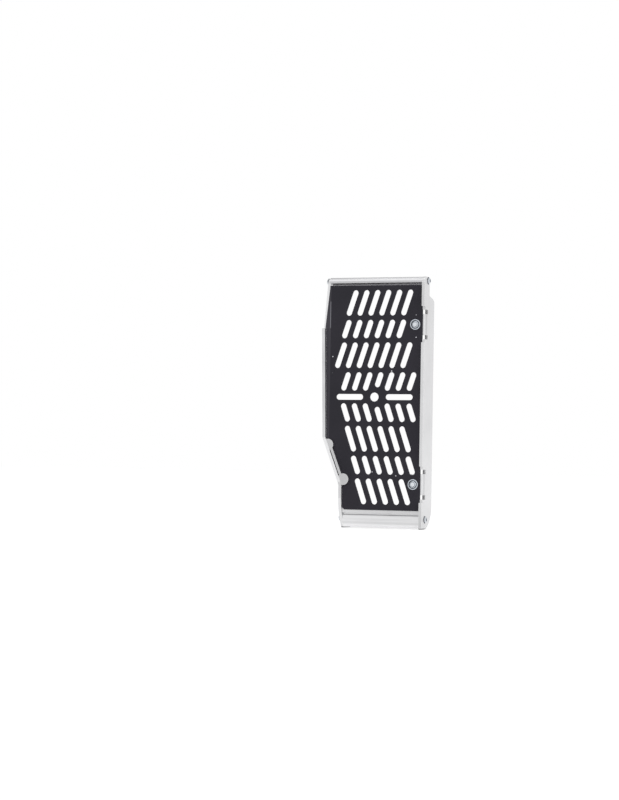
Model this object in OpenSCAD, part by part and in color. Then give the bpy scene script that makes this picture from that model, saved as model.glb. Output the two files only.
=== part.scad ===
// Motorcycle radiator guard: a slotted front grille held in a frame of two
// bent side plates and two crossbars. The guard stands on the lower ends of
// its side plates. X runs across, with the outer side plate at +X, Y runs
// from the front to the back and Z runs up.

/* [Frame] */
// Height from the foot of the side plates to their top
guard_h = 251.5; // [230:0.5:300]
// Widest clear width between the side plates
clear_w = 102.6; // [95:0.1:130]
// Thickness of the side plates
plate_t = 3; // [2:0.1:4]
// Depth of the outer side plate from front edge to rear edge
plate_depth = 33.3; // [29:0.1:45]
// How far the outer side plate stands in front of the grille
outer_forward = 4.8; // [3:0.1:7]
// How far the inner side plate stands in front of the grille
inner_forward = 2; // [1:0.1:2.8]
// Radius of the edges bent or rounded on the side plates
edge_r = 3; // [1:0.1:4]
// Radius of the long sweep at the rear of the outer side plate's foot
outer_sweep_r = 26; // [22:0.5:40]
// Height of the sweep at the front of the inner side plate's foot
inner_sweep_h = 31; // [26:0.5:36]
// Length of the flat that the outer side plate stands on
outer_flat = 9; // [7:0.5:16]
// Length of the flat that the inner side plate stands on
inner_flat = 19; // [16:0.5:24]

/* [Neck of the side plates] */
// Depth of the neck at the top
neck_depth = 16.8; // [14:0.1:20]
// Drop from the top to the shoulder under the neck, at the rear edge
shoulder_drop = 22; // [16:0.5:30]
// Rise of the shoulder from the rear edge to the neck
shoulder_rise = 3.5; // [0.5:0.1:6]
// Radius of the corners at the top of the neck
neck_r = 6; // [2:0.1:7]
// How far the inner plate's front edge lies behind the grille's face above its step
upper_setback = 3.8; // [3.3:0.1:6]

/* [Bends of the inner side plate] */
// Drop from the top to the widest point, where the plate has its step
bulge_drop = 51; // [40:0.5:64]
// How far the plate leans in from there to the top
top_inset = 4.3; // [0:0.1:6]
// Height of the bend where the slanted stretch begins
slant_top_z = 90.5; // [80:0.5:110]
// How far the plate leans in from the widest point to that bend
slant_top_inset = 2.4; // [0:0.1:8]
// Height of the bend where the slanted stretch ends
slant_low_z = 43.5; // [36:0.5:50]
// How far the plate stands in at the foot
foot_inset = 20.2; // [12:0.1:26]
// Radius of the bends along the middle of the sheet
bend_mid_r = 8; // [4:0.5:15]

/* [Grille] */
// Thickness of the grille
sheet_t = 1.5; // [1:0.1:2]
// Height of the grille's lower edge
grille_low_z = 18.2; // [17:0.1:22]
// Drop from the top of the side plates to the grille's upper edge
grille_drop = 8.1; // [7.8:0.1:10]
// Gap between the grille and the side plates
grille_gap = 0.3; // [0.2:0.05:0.6]
// Distance of the fold line from the widest point of the inner side plate
fold_in = 5.3; // [3:0.1:8]
// Angle of the strip folded back beyond that line
fold_angle = 15; // [8:0.5:16]
// Reach of the folded strip over the inner plate's upper front edge
fold_cover = 0.7; // [0.2:0.1:1.5]
// Inward lean of the grille's inner edge above the step
upper_lean = 5.2; // [1:0.1:7]
// Size of the cut corner at the foot of the inner edge
foot_cut = 2.5; // [1:0.1:5]

/* [Slots] */
// Width of each slot
slot_w = 5.8; // [4:0.1:6.5]
// Slant of the slots from upright
slot_slant = 18.5; // [10:0.5:22]
// Height of a short slot as a share of a short and a long one together
short_share = 0.417; // [0.35:0.001:0.45]
// Upright gap between two rows
row_gap = 4.25; // [3:0.05:6]
// Height of the middle row above the middle of the grille
level_rise = 0.45; // [0:0.05:1]
// Upright distance from the middle row to the rows next to it
level_gap = 6.4; // [6:0.1:8]
// Upright distance from the outermost rows to the grille's edges, on average
slot_margin = 5.25; // [4.5:0.05:8]
// Distance from the outer side plate to the first short slot
slot_start = 11; // [10:0.1:14]
// Distance from the last long slot to the widest point of the inner side plate
slot_end = 16.85; // [14:0.05:22]
// Distance from the round hole to the near end of a level slot
level_near = 11.8; // [8:0.1:16]
// Distance from the outer side plate to the far end of the level slot next to it
level_edge = 9.4; // [6:0.1:12]
// Diameter of the round hole
round_hole_d = 9; // [6:0.1:10]
// Shift of the round hole from the middle of the width towards the outer side plate
hole_shift = 1.7; // [0:0.1:3]
// Shortening of the slot above and below the round hole
hole_relief = 3.6; // [2:0.1:6]

/* [Folded tabs] */
// Height of each folded tab
tab_h = 21; // [18:0.5:24]
// Reach of each tab from the outer side plate
tab_reach = 13.8; // [13.4:0.1:15]
// Radius of the tab's free corners
tab_corner_r = 5; // [1:0.1:6]
// Inner radius of the tab's bend
tab_bend_r = 1.5; // [0.5:0.1:2.5]
// Height of the relief notch at each end of the bend
notch_h = 4.3; // [2:0.1:6]
// Depth of the relief notch beyond the bend
notch_extra = 1.5; // [0.5:0.1:3]
// Length of edge stepped back around each tab
step_len = 36; // [34:0.5:44]
// Place of the stepped edge behind the grille's face
step_back = -0.8; // [-1.5:0.1:0]
// Drop from the top to the upper grille screw
upper_screw_drop = 47.8; // [40:0.1:56]
// Height of the lower grille screw
lower_screw_z = 44.5; // [38:0.1:52]
// Distance of the grille screws from the outer side plate
screw_u = 7.7; // [7:0.1:8.5]

/* [Crossbars] */
// Height of the top crossbar
top_bar_h = 6.6; // [6.5:0.1:7]
// Depth of the top crossbar
top_bar_depth = 12.6; // [11:0.1:14]
// Drop of the top crossbar below the top of the side plates
top_bar_drop = 0.1; // [0:0.1:0.5]
// Radius of the top crossbar's nose
top_bar_r = 2.9; // [1:0.1:3]
// Place of the top crossbar's nose behind the grille's face
top_bar_y = 0; // [-1:0.1:1.5]
// Distance of the top crossbar's screws behind its nose
top_screw_in = 7.6; // [7:0.1:9]
// Drop from the top of the side plates to those screws
top_screw_drop = 3.8; // [3.8:0.1:4.1]
// Height of the bottom crossbar
low_bar_h = 12.7; // [11:0.1:13.4]
// Depth of the bottom crossbar
low_bar_depth = 12; // [9:0.1:16]
// Place of the bottom crossbar's front behind the grille's face
low_bar_y = 3.2; // [2:0.1:5]
// Height of the bottom crossbar's underside above the foot
low_bar_z = 0.9; // [0.5:0.1:1.5]
// Distance of the bottom crossbar's screws behind its front
low_screw_in = 3.8; // [3.6:0.1:6]
// Drop from the bottom crossbar's upper side to its screws
low_screw_drop = 3.9; // [3:0.1:6]
// Radius of the bottom crossbar's front corners
low_bar_r = 3; // [1:0.1:4]
// Thickness of the lips behind the grille
lip_t = 2.5; // [2:0.1:3]
// Thickness of the webs that carry the lips
web_t = 3; // [2:0.1:4]
// Overlap of the lips behind the grille
lip_overlap = 4.5; // [3:0.1:6]
// Width of the groove between the top crossbar and its lip
top_groove = 1.1; // [0.5:0.1:1.4]
// Width of the groove between the bottom crossbar and its lip
low_groove = 1.8; // [1:0.1:2.4]

/* [Retainer] */
// Thickness of the retainer
retainer_t = 3; // [2.6:0.1:4]
// Width of the strip between the ears
retainer_strip = 2.8; // [2:0.1:5]
// Gap between that strip and the inner side plate
retainer_gap = 1.3; // [0.6:0.1:2]
// Radius of the retainer's ears
ear_r = 5.8; // [5.6:0.1:8]
// Height of the upper ear
upper_ear_z = 83.2; // [80:0.1:88]
// Height of the lower ear
lower_ear_z = 48.6; // [48:0.1:56]
// Distance from the inner plate to the middle of the upper ear
upper_ear_in = 0.3; // [0:0.1:3]
// Distance from the inner plate to the middle of the lower ear
lower_ear_in = 3.9; // [2:0.1:5]
// Distance from the inner plate to the screws in the ears
ear_screw_in = 3.6; // [3.5:0.1:4]
// Reach of the lug that backs the grille along the slanted stretch
lug_reach = 11; // [9:0.1:14]

/* [Fasteners] */
// Thread diameter of the grille screws
grille_screw_d = 6; // [5:0.5:6]
// Thread diameter of the crossbar screws
bar_screw_d = 4; // [3:0.5:4]
// Thread diameter of the retainer screws
ear_screw_d = 3; // [2.5:0.5:3]
// Thread length of the crossbar screws beyond the side plate
bar_screw_grip = 10; // [6:0.5:14]
// Radial clearance of a thread in its hole
thread_gap = 0.05; // [0.03:0.01:0.1]
// Radial clearance of a screw in a plain hole
hole_gap = 0.3; // [0.2:0.05:0.6]
// Height of the pressed nuts behind the tabs
nut_h = 4.1; // [3:0.1:5]

/* [Mounting] */
// Diameter of the mounting holes in the inner side plate
mount_hole_d = 6.5; // [5.5:0.1:8.5]
// Height of the lower mounting hole
mount_low_z = 110; // [104:0.5:125]
// Drop from the top to the upper mounting hole
mount_drop = 71.5; // [64:0.5:80]
// Place of the mounting holes in front of the rear edge
mount_inset = 10; // [8:0.5:12]

/* [Hidden] */
$fn = 48;

// Wall of the pressed nuts' collar, and how far their body stands out round it
nut_wall = 1.4;
nut_flange = 1.1;
// Share of a button head's height that is left under its key socket
socket_floor = 0.4;
// How far a screw ends short of the far end of its thread
tip_gap = 0.5;
// Thickness left in front of the retainer's blind holes
retainer_skin = 0.6;
// How far the pieces behind the grille end short of its fold
fold_clear = 0.5;

black = [0.16, 0.155, 0.17];
bare = [0.84, 0.84, 0.85];
steel = [0.6, 0.61, 0.62];

cut = 1;
grille_top_z = guard_h - grille_drop;
shoulder_z = guard_h - shoulder_drop;
bulge_z = guard_h - bulge_drop;
fold_u = clear_w - fold_in;
mount_zs = [mount_low_z, guard_h - mount_drop];
rear_y = plate_depth - outer_forward;
bend_outer_r = plate_t + tab_bend_r;
bend_y = sheet_t + bend_outer_r;
tab_zs = [guard_h - upper_screw_drop, lower_screw_z];

// Button heads: diameter, height and key size for a thread diameter
function head_d(d) = d * 1.55 + 1.3;
function head_h(d) = d * 0.55;
function key_af(d) = d == 6 ? 4 : d * 0.625;
function dome_r(d) = (head_d(d) * head_d(d) / 4 + head_h(d) * head_h(d)) / (2 * head_h(d));

// Height of a head's highest points, on the rim of its key socket
function rim_h(d) = head_h(d) - dome_r(d) + sqrt(dome_r(d) * dome_r(d) - key_af(d) * key_af(d) / 4);

// Places of the crossbars' screws as [y, z]
top_screw = [top_bar_y + top_screw_in, guard_h - top_screw_drop];
low_screw = [low_bar_y + low_screw_in, low_bar_z + low_bar_h - low_screw_drop];
bar_screws = [top_screw, low_screw];

// The guard is centred on its outline, screw heads included
side_head_h = rim_h(bar_screw_d);
u_high = max(clear_w + plate_t, seat_u(top_screw[1]) + side_head_h);
x_shift = (u_high - plate_t - side_head_h) / 2;
y_shift = outer_forward - plate_depth / 2;

// Width u is measured inwards from the outer side plate's inner face
function at_u(u) = x_shift - u;

// Inner face of the inner side plate as a run of [u, z] points
inner_face = [
    [clear_w - top_inset, guard_h + cut],
    [clear_w, bulge_z],
    [clear_w - slant_top_inset, slant_top_z],
    [clear_w - foot_inset, slant_low_z],
    [clear_w - foot_inset, -cut]
];

function unit(v) = v / norm(v);
function right_of(v) = [v[1], -v[0]];

// Point where two lines moved sideways by d from a corner meet
function mitre(a, b, c, d) =
    let (p = unit(b - a), q = unit(c - b), n = right_of(p), m = right_of(q))
    b + (n + m) * d / (1 + n * m);

// A run of points that leads downwards, moved towards the outer side plate by d
function moved(run, d) = [
    for (i = [0 : len(run) - 1])
        i == 0 ? run[0] + right_of(unit(run[1] - run[0])) * d
        : i == len(run) - 1 ? run[i] + right_of(unit(run[i] - run[i - 1])) * d
        : mitre(run[i - 1], run[i], run[i + 1], d)
];

// A run of points with each inner corner turned into an arc of radius r
function rounded(run, r, steps = 8) = [
    run[0],
    for (i = [1 : len(run) - 2])
        let (
            p = unit(run[i] - run[i - 1]), q = unit(run[i + 1] - run[i]),
            turn = atan2(p[0] * q[1] - p[1] * q[0], p * q),
            s = sign(turn), back = r * tan(abs(turn) / 2),
            from = run[i] - p * back, middle = from - right_of(p) * s * r
        )
        for (k = [0 : steps])
            let (a = turn * k / steps, v = from - middle)
            middle + [v[0] * cos(a) - v[1] * sin(a), v[0] * sin(a) + v[1] * cos(a)],
    run[len(run) - 1]
];

// u of the inner plate's outer face under a small screw head at height z
function seat_u(z) =
    let (lean = atan(top_inset / (guard_h + cut - bulge_z)))
    z < slant_low_z ? clear_w - foot_inset + plate_t
    : upper_u(z) + plate_t / cos(lean) + head_d(bar_screw_d) / 2 * tan(lean);

function backwards(run) = [for (i = [len(run) - 1 : -1 : 0]) run[i]];

// u of the inner plate's inner face at height z on the slanted stretch
function slant_u(z) =
    inner_face[3][0] + (inner_face[2][0] - inner_face[3][0])
    * (z - slant_low_z) / (slant_top_z - slant_low_z);

// u of the inner plate's inner face at height z above the slanted stretch
function upper_u(z) =
    z > bulge_z ? clear_w - top_inset * (z - bulge_z) / (guard_h + cut - bulge_z)
    : clear_w - slant_top_inset * (bulge_z - z) / (bulge_z - slant_top_z);

// Corner at the origin, open towards +X and +Y, rounded with radius r
module corner_cut(r) {
    difference() {
        translate([-cut, -cut]) square(r + cut);
        translate([r, r]) circle(r);
    }
}

// Extrudes an outline drawn in [y, z] along X, from x on
module along_x(x, length) {
    translate([x, 0, 0]) rotate([90, 0, 90]) linear_extrude(length) children();
}

// Extrudes an outline drawn in [u, z] along Y, from y on
module along_y(y, length) {
    translate([x_shift, y + length, 0]) mirror([1, 0, 0])
        rotate([90, 0, 0]) linear_extrude(length) children();
}

// Moves a piece built round the grille's face to the centred frame
module centred() {
    translate([0, y_shift, 0]) children();
}

// Side plate seen from the side: a deep lower part with a neck on top. Front
// is the front edge, neck_y where the neck starts.
module side_outline(front, neck_y, neck_front) {
    difference() {
        union() {
            translate([front, 0]) square([rear_y - front, shoulder_z]);
            translate([neck_y, 0]) square([neck_depth, guard_h]);
            polygon([
                [front, shoulder_z - cut], [rear_y, shoulder_z - cut],
                [rear_y, shoulder_z], [neck_y + neck_depth, shoulder_z + shoulder_rise],
                [neck_y, shoulder_z + shoulder_rise]
            ]);
        }
        translate([neck_y, guard_h]) mirror([0, 1]) corner_cut(neck_front);
        translate([neck_y + neck_depth, guard_h]) rotate(180) corner_cut(neck_r);
        translate([rear_y, shoulder_z]) rotate(180) corner_cut(edge_r);
    }
}

// Foot cut up by a sweep of radius r, from a flat that ends at the origin, towards +Y
module foot_sweep(r) {
    difference() {
        translate([0, -cut]) square([r, r + cut]);
        translate([0, r]) circle(r, $fn = 160);
    }
}

// Front edge cut back in an arc that leaves it at height h and ends at depth d on the foot
module front_sweep(d, h, steps = 24) {
    r = (d * d + h * h) / (2 * d);
    swing = asin(h / r);
    polygon([
        [-cut, h],
        for (k = [0 : steps]) let (a = swing * k / steps) [r - r * cos(a), h - r * sin(a)],
        [d, -cut], [-cut, -cut]
    ]);
}

module outer_profile() {
    difference() {
        side_outline(-outer_forward, -outer_forward, neck_r);
        translate([outer_flat - outer_forward, 0]) foot_sweep(outer_sweep_r);
        translate([-outer_forward, 0]) corner_cut(edge_r / 2);
        for (z = tab_zs) {
            translate([-outer_forward - cut, z - step_len / 2])
                square([outer_forward + cut + step_back, step_len]);
            translate([-outer_forward - cut, z - tab_h / 2])
                square([outer_forward + cut + bend_y, tab_h]);
            for (side = [-1, 1])
                translate([-outer_forward - cut, z + side * (tab_h + notch_h) / 2 - notch_h / 2])
                    square([outer_forward + cut + bend_y + notch_extra, notch_h]);
        }
    }
}

// Tab folded in behind the grille, with its bend
module folded_tab(z) {
    translate([x_shift + plate_t - bend_outer_r, bend_y, z - tab_h / 2])
        linear_extrude(tab_h)
            intersection() {
                difference() {
                    circle(bend_outer_r);
                    circle(tab_bend_r);
                }
                translate([0, -2 * bend_outer_r]) square(2 * bend_outer_r);
            }
    along_y(sheet_t, plate_t)
        difference() {
            translate([bend_outer_r - plate_t, z - tab_h / 2])
                square([tab_reach - bend_outer_r + plate_t, tab_h]);
            translate([tab_reach, z - tab_h / 2]) rotate(90) corner_cut(tab_corner_r);
            translate([tab_reach, z + tab_h / 2]) rotate(180) corner_cut(tab_corner_r);
        }
}

module outer_side_plate() {
    color(bare) centred() difference() {
        union() {
            along_x(x_shift, plate_t) outer_profile();
            for (z = tab_zs) folded_tab(z);
        }
        for (z = tab_zs)
            translate([at_u(screw_u), sheet_t - cut, z]) rotate([-90, 0, 0])
                cylinder(r = grille_screw_d / 2 + nut_wall, h = plate_t + 2 * cut);
        for (p = bar_screws)
            translate([x_shift - cut, p[0], p[1]]) rotate([0, 90, 0])
                cylinder(r = bar_screw_d / 2 + hole_gap, h = plate_t + 2 * cut);
    }
}

// Front edge of the inner plate steps back above the bulge
module inner_profile() {
    difference() {
        union() {
            intersection() {
                side_outline(-inner_forward, upper_setback, neck_r);
                translate([-inner_forward, -cut]) square([plate_depth, bulge_z + cut]);
            }
            intersection() {
                side_outline(upper_setback, upper_setback, neck_r);
                translate([upper_setback, bulge_z - cut]) square([plate_depth, guard_h]);
            }
        }
        translate([-inner_forward, 0])
            front_sweep(rear_y - inner_flat + inner_forward, inner_sweep_h);
        translate([-inner_forward, bulge_z]) mirror([0, 1]) corner_cut(edge_r / 2);
    }
}

// Lug welded to the inner plate behind the grille, along the slanted stretch as
// far up as the grille is flat
module backing_lug() {
    along_y(sheet_t, plate_t)
        intersection() {
            polygon([
                [slant_u(slant_low_z + cut) + plate_t / 2, slant_low_z + cut],
                [slant_u(slant_top_z - cut) + plate_t / 2, slant_top_z - cut],
                [slant_u(slant_top_z - cut) - lug_reach, slant_top_z - cut],
                [slant_u(slant_low_z + cut) - lug_reach, slant_low_z + cut]
            ]);
            translate([clear_w / 2, 0]) square([fold_u - fold_clear - clear_w / 2, guard_h]);
        }
}

module inner_side_plate() {
    middle = rounded(moved(inner_face, -plate_t / 2), bend_mid_r);
    color(bare) centred() difference() {
        union() {
            intersection() {
                along_y(-outer_forward - cut, plate_depth + 2 * cut)
                    polygon(concat(moved(middle, plate_t / 2), backwards(moved(middle, -plate_t / 2))));
                along_x(at_u(clear_w + 3 * plate_t), clear_w) inner_profile();
            }
            backing_lug();
        }
        for (p = bar_screws)
            translate([at_u(clear_w + 2 * plate_t), p[0], p[1]]) rotate([0, 90, 0])
                cylinder(r = bar_screw_d / 2 + hole_gap, h = clear_w / 2);
        for (z = mount_zs)
            translate([at_u(clear_w + 2 * plate_t), rear_y - mount_inset, z]) rotate([0, 90, 0])
                cylinder(r = mount_hole_d / 2, h = clear_w / 2);
        for (p = ear_screws) retainer_hole(p, hole_gap);
    }
}

// Places of the ears and of the screws in them, as [u, z]
ears = [
    [slant_u(upper_ear_z) - upper_ear_in, upper_ear_z],
    [slant_u(lower_ear_z) - lower_ear_in, lower_ear_z]
];
ear_screws = [for (z = [upper_ear_z, lower_ear_z]) [slant_u(z) - ear_screw_in, z]];

module retainer_hole(p, gap) {
    translate([at_u(p[0]), -cut, p[1]]) rotate([-90, 0, 0])
        cylinder(r = ear_screw_d / 2 + gap, h = sheet_t + plate_t + 2 * cut);
}

// Region inside the inner side plate, kept clear of it by a gap
module inside_region(gap) {
    run = moved(inner_face, gap);
    polygon(concat([[0, guard_h + cut]], run, [[0, -cut]]));
}

module panel_retainer() {
    color(bare) centred() difference() {
        intersection() {
            union() {
                for (p = ears) along_y(-retainer_t, retainer_t) translate(p) circle(ear_r);
                along_y(-retainer_t, retainer_t)
                    polygon([
                        [slant_u(ears[0][1]) - retainer_gap, ears[0][1]],
                        [slant_u(ears[1][1]) - retainer_gap, ears[1][1]],
                        [slant_u(ears[1][1]) - retainer_gap - retainer_strip, ears[1][1]],
                        [slant_u(ears[0][1]) - retainer_gap - retainer_strip, ears[0][1]]
                    ]);
            }
            along_y(-retainer_t - cut, retainer_t + 2 * cut) inside_region(grille_gap);
        }
        for (p = ear_screws)
            translate([at_u(p[0]), retainer_skin - retainer_t, p[1]]) rotate([-90, 0, 0])
                cylinder(r = ear_screw_d / 2 + thread_gap, h = retainer_t + cut);
    }
}

// Front of the grille: a rectangle with a leaning inner edge over the step, the
// inner plate's run below it and a cut corner at the foot
module grille_outline() {
    edge = moved(inner_face, grille_gap);
    foot_u = clear_w - foot_inset - grille_gap;
    polygon([
        [grille_gap, grille_low_z], [grille_gap, grille_top_z],
        [clear_w + fold_cover - upper_lean, grille_top_z],
        [clear_w + fold_cover, bulge_z + grille_gap],
        [upper_u(bulge_z) - grille_gap, bulge_z + grille_gap],
        edge[1], edge[2], edge[3],
        [foot_u, grille_low_z + foot_cut], [foot_u - foot_cut, grille_low_z]
    ]);
}

// Sheet seen from above, with its inner strip folded back
module sheet_plan() {
    reach = clear_w;
    away = [cos(fold_angle), sin(fold_angle)] * reach;
    inner = sheet_t * tan(fold_angle / 2);
    translate([x_shift, 0]) mirror([1, 0]) polygon([
        [-cut, 0], [fold_u, 0], [fold_u, 0] + away,
        [fold_u - inner, sheet_t] + away, [fold_u - inner, sheet_t], [-cut, sheet_t]
    ]);
}

// Slot of a given total length, drawn upright round its middle
module slot(length) {
    square([slot_w, length - slot_w], center = true);
    for (side = [-1, 1]) translate([0, side * (length - slot_w) / 2]) circle(slot_w / 2);
}

function slot_length(rise) = (rise - slot_w) / cos(slot_slant) + slot_w;

// Rows from the middle outwards, above and below: number of slots and
// how many places are left free next to the outer side plate
rows_above = [[7, 0], [7, 0], [6, 1], [6, 0]];
rows_below = [[7, 0], [6, 0], [6, 0], [5, 0]];
rows_per_half = 4;
places = 6;

// The rows share the grille's height and the slots share its width
mid_z = (grille_low_z + grille_top_z) / 2 + level_rise;
half_h = (grille_top_z - grille_low_z) / 2 - slot_margin - level_gap;
pair_rise = (half_h - (rows_per_half - 1) * row_gap) * 2 / rows_per_half;
short_rise = pair_rise * short_share;
long_rise = pair_rise - short_rise;
row_step = pair_rise / 2 + row_gap;
slot_pitch = (clear_w - slot_start - slot_end) / (places + 0.5);
round_hole_u = clear_w / 2 - hole_shift;
level_len = round_hole_u - level_near - level_edge;

// One half of the slot pattern, with the rows stacked towards +Z or -Z. Every
// other row is shifted by half a pitch and has long slots.
module slot_rows(rows, up) {
    for (i = [0 : len(rows) - 1], k = [0 : rows[i][0] - 1]) {
        long = i % 2 == 1;
        u = slot_start + (long ? slot_pitch / 2 : 0) + (k + rows[i][1]) * slot_pitch;
        z = level_gap + short_rise / 2 + i * row_step;
        by_hole = i == 0 && abs(u - round_hole_u) < slot_pitch / 2;
        length = slot_length(long ? long_rise : short_rise);
        translate([u, mid_z + up * z]) rotate(up * slot_slant)
            translate([0, by_hole ? up * hole_relief / 2 : 0])
                slot(length - (by_hole ? hole_relief : 0));
    }
}

module slot_pattern() {
    slot_rows(rows_above, 1);
    slot_rows(rows_below, -1);
    for (side = [-1, 1])
        translate([round_hole_u + side * (level_near + level_len / 2), mid_z])
            rotate(90) slot(level_len);
}

module front_grille() {
    color(black) centred() difference() {
        intersection() {
            linear_extrude(guard_h) sheet_plan();
            along_y(-cut, 10 * sheet_t) grille_outline();
        }
        along_y(-2 * cut, 10 * sheet_t) slot_pattern();
        translate([at_u(round_hole_u), -cut, mid_z]) rotate([-90, 0, 0])
            cylinder(d = round_hole_d, h = sheet_t + 2 * cut);
        for (z = tab_zs)
            translate([at_u(screw_u), -cut, z]) rotate([-90, 0, 0])
                cylinder(r = grille_screw_d / 2 + hole_gap, h = sheet_t + 2 * cut);
        for (p = ear_screws) retainer_hole(p, hole_gap);
    }
}

// Profile drawn in [y, z], run between the side plates from z_low to z_high and
// from the outer plate to width u_end at most
module between_plates(z_low, z_high, u_end) {
    intersection() {
        along_x(at_u(u_end), u_end) children();
        along_y(-outer_forward, plate_depth)
            intersection() {
                inside_region(0);
                translate([0, z_low]) square([clear_w, z_high - z_low]);
            }
    }
}

// Lip behind the grille from height near, next to its bar, to height far. A shelf
// and a web at web_y carry it on the bar, whose middle is at height mid.
module lip_profile(near, far, mid, web_y) {
    shelf = near + sign(far - near) * web_t;
    translate([sheet_t, min(near, far)]) square([lip_t, abs(far - near)]);
    translate([sheet_t, min(near, shelf)]) square([web_y + web_t - sheet_t, web_t]);
    translate([web_y, min(mid, shelf)]) square([web_t, abs(shelf - mid)]);
}

module top_crossbar() {
    bar_z = guard_h - top_bar_drop - top_bar_h;
    lip_low = grille_top_z - lip_overlap;
    color(bare) centred() difference() {
        union() {
            between_plates(lip_low, guard_h, clear_w)
                difference() {
                    translate([top_bar_y, bar_z]) square([top_bar_depth, top_bar_h]);
                    translate([top_bar_y, bar_z]) corner_cut(top_bar_r);
                    translate([top_bar_y, bar_z + top_bar_h]) mirror([0, 1]) corner_cut(top_bar_r);
                }
            between_plates(lip_low, guard_h, fold_u - fold_clear)
                lip_profile(bar_z - top_groove, lip_low, bar_z + top_bar_h / 2, top_bar_y + top_bar_r);
        }
        bar_thread(top_screw);
    }
}

module bottom_crossbar() {
    bar_top = low_bar_z + low_bar_h;
    lip_top = grille_low_z + lip_overlap;
    color(bare) centred() difference() {
        between_plates(0, lip_top, clear_w) union() {
            difference() {
                translate([low_bar_y, low_bar_z]) square([low_bar_depth, low_bar_h]);
                translate([low_bar_y, low_bar_z]) corner_cut(low_bar_r);
                translate([low_bar_y, bar_top]) mirror([0, 1]) corner_cut(low_bar_r / 2);
            }
            lip_profile(bar_top + low_groove, lip_top, bar_top - low_bar_h / 2, low_bar_y + low_bar_r / 2);
        }
        bar_thread(low_screw);
    }
}

// Threaded port that takes a screw at both ends
module bar_thread(p) {
    translate([at_u(clear_w + cut), p[0], p[1]]) rotate([0, 90, 0])
        cylinder(r = bar_screw_d / 2 + thread_gap, h = clear_w + 2 * cut);
}

// Button-head screw at the origin: the head stands on Z = 0 towards +Z
module button_screw(d, length) {
    h = head_h(d);
    dome = dome_r(d);
    lowest = asin(head_d(d) / 2 / dome);
    arc = [for (i = [0 : 8]) let (a = lowest * i / 8) [dome * sin(a), h - dome + dome * cos(a)]];
    difference() {
        union() {
            rotate_extrude() polygon(concat([[0, 0]], arc));
            translate([0, 0, -length]) cylinder(d = d, h = length + h * socket_floor / 2);
        }
        translate([0, 0, h * socket_floor]) cylinder(d = key_af(d) / cos(30), h = h, $fn = 6);
    }
}

module grille_screws() {
    for (z = tab_zs)
        color(steel) centred() translate([at_u(screw_u), 0, z]) rotate([90, 0, 0])
            button_screw(grille_screw_d, sheet_t + plate_t + nut_h - tip_gap);
}

module tab_nuts() {
    back = sheet_t + plate_t;
    for (z = tab_zs)
        color(steel) centred() translate([at_u(screw_u), back, z]) rotate([-90, 0, 0])
            difference() {
                union() {
                    cylinder(r = grille_screw_d / 2 + nut_wall + nut_flange, h = nut_h);
                    translate([0, 0, hole_gap - plate_t])
                        cylinder(r = grille_screw_d / 2 + nut_wall - thread_gap, h = plate_t);
                }
                translate([0, 0, -plate_t]) cylinder(r = grille_screw_d / 2 + thread_gap, h = nut_h + 2 * plate_t);
            }
}

module crossbar_screws() {
    for (p = bar_screws) {
        color(steel) centred() {
            translate([x_shift + plate_t, p[0], p[1]]) rotate([0, 90, 0])
                button_screw(bar_screw_d, plate_t + bar_screw_grip);
            translate([at_u(seat_u(p[1])), p[0], p[1]]) rotate([0, -90, 0])
                button_screw(bar_screw_d, plate_t + bar_screw_grip);
        }
    }
}

module retainer_screws() {
    for (p = ear_screws)
        color(steel) centred() translate([at_u(p[0]), sheet_t + plate_t, p[1]]) rotate([-90, 0, 0])
            button_screw(ear_screw_d, sheet_t + plate_t + retainer_t - retainer_skin - tip_gap);
}

front_grille();
outer_side_plate();
inner_side_plate();
panel_retainer();
top_crossbar();
bottom_crossbar();
grille_screws();
tab_nuts();
crossbar_screws();
retainer_screws();
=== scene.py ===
"""Looks of the motorcycle radiator guard: finishes, softened edges, fasteners, light and camera."""

from __future__ import annotations

import logging
import math
from dataclasses import dataclass, field, replace
from enum import Enum

import bmesh
import bpy
from mathutils import Matrix, Vector

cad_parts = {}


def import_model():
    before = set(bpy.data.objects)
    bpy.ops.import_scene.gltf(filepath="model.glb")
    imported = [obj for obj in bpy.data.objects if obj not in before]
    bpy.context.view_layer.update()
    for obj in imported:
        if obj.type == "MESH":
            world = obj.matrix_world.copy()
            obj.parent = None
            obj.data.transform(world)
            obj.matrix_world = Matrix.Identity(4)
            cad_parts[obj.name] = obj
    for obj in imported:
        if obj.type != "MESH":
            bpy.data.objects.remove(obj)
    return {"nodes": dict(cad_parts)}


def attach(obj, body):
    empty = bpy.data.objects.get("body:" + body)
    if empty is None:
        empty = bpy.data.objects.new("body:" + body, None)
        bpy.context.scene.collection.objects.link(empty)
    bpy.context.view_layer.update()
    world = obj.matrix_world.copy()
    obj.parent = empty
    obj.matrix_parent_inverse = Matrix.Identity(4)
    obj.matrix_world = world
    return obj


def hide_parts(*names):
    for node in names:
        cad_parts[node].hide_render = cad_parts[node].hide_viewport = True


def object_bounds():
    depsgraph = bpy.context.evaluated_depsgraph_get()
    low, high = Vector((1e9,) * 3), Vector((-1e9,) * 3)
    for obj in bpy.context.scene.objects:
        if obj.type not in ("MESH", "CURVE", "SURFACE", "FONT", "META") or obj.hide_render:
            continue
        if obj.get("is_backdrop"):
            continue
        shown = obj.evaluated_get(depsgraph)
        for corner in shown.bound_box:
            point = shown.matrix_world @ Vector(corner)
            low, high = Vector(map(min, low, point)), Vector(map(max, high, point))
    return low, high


LOG = logging.getLogger("radiator_guard")
MM = 0.001
BODY = "root"
# Length over which a stretch of painted highlight or painted shade fades out
PAINTED_LIGHT_FADE = 1.5 * MM
# Heights between which the feet of the side plates are painted dark, as contact shadow
PAINTED_FOOT_SHADE = (-4 * MM, 1.5 * MM)
# Distances under which doubled points are joined, on CAD copies and on turned shapes
CAD_MERGE = 0.002 * MM
TURNED_MERGE = 0.001 * MM


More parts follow.
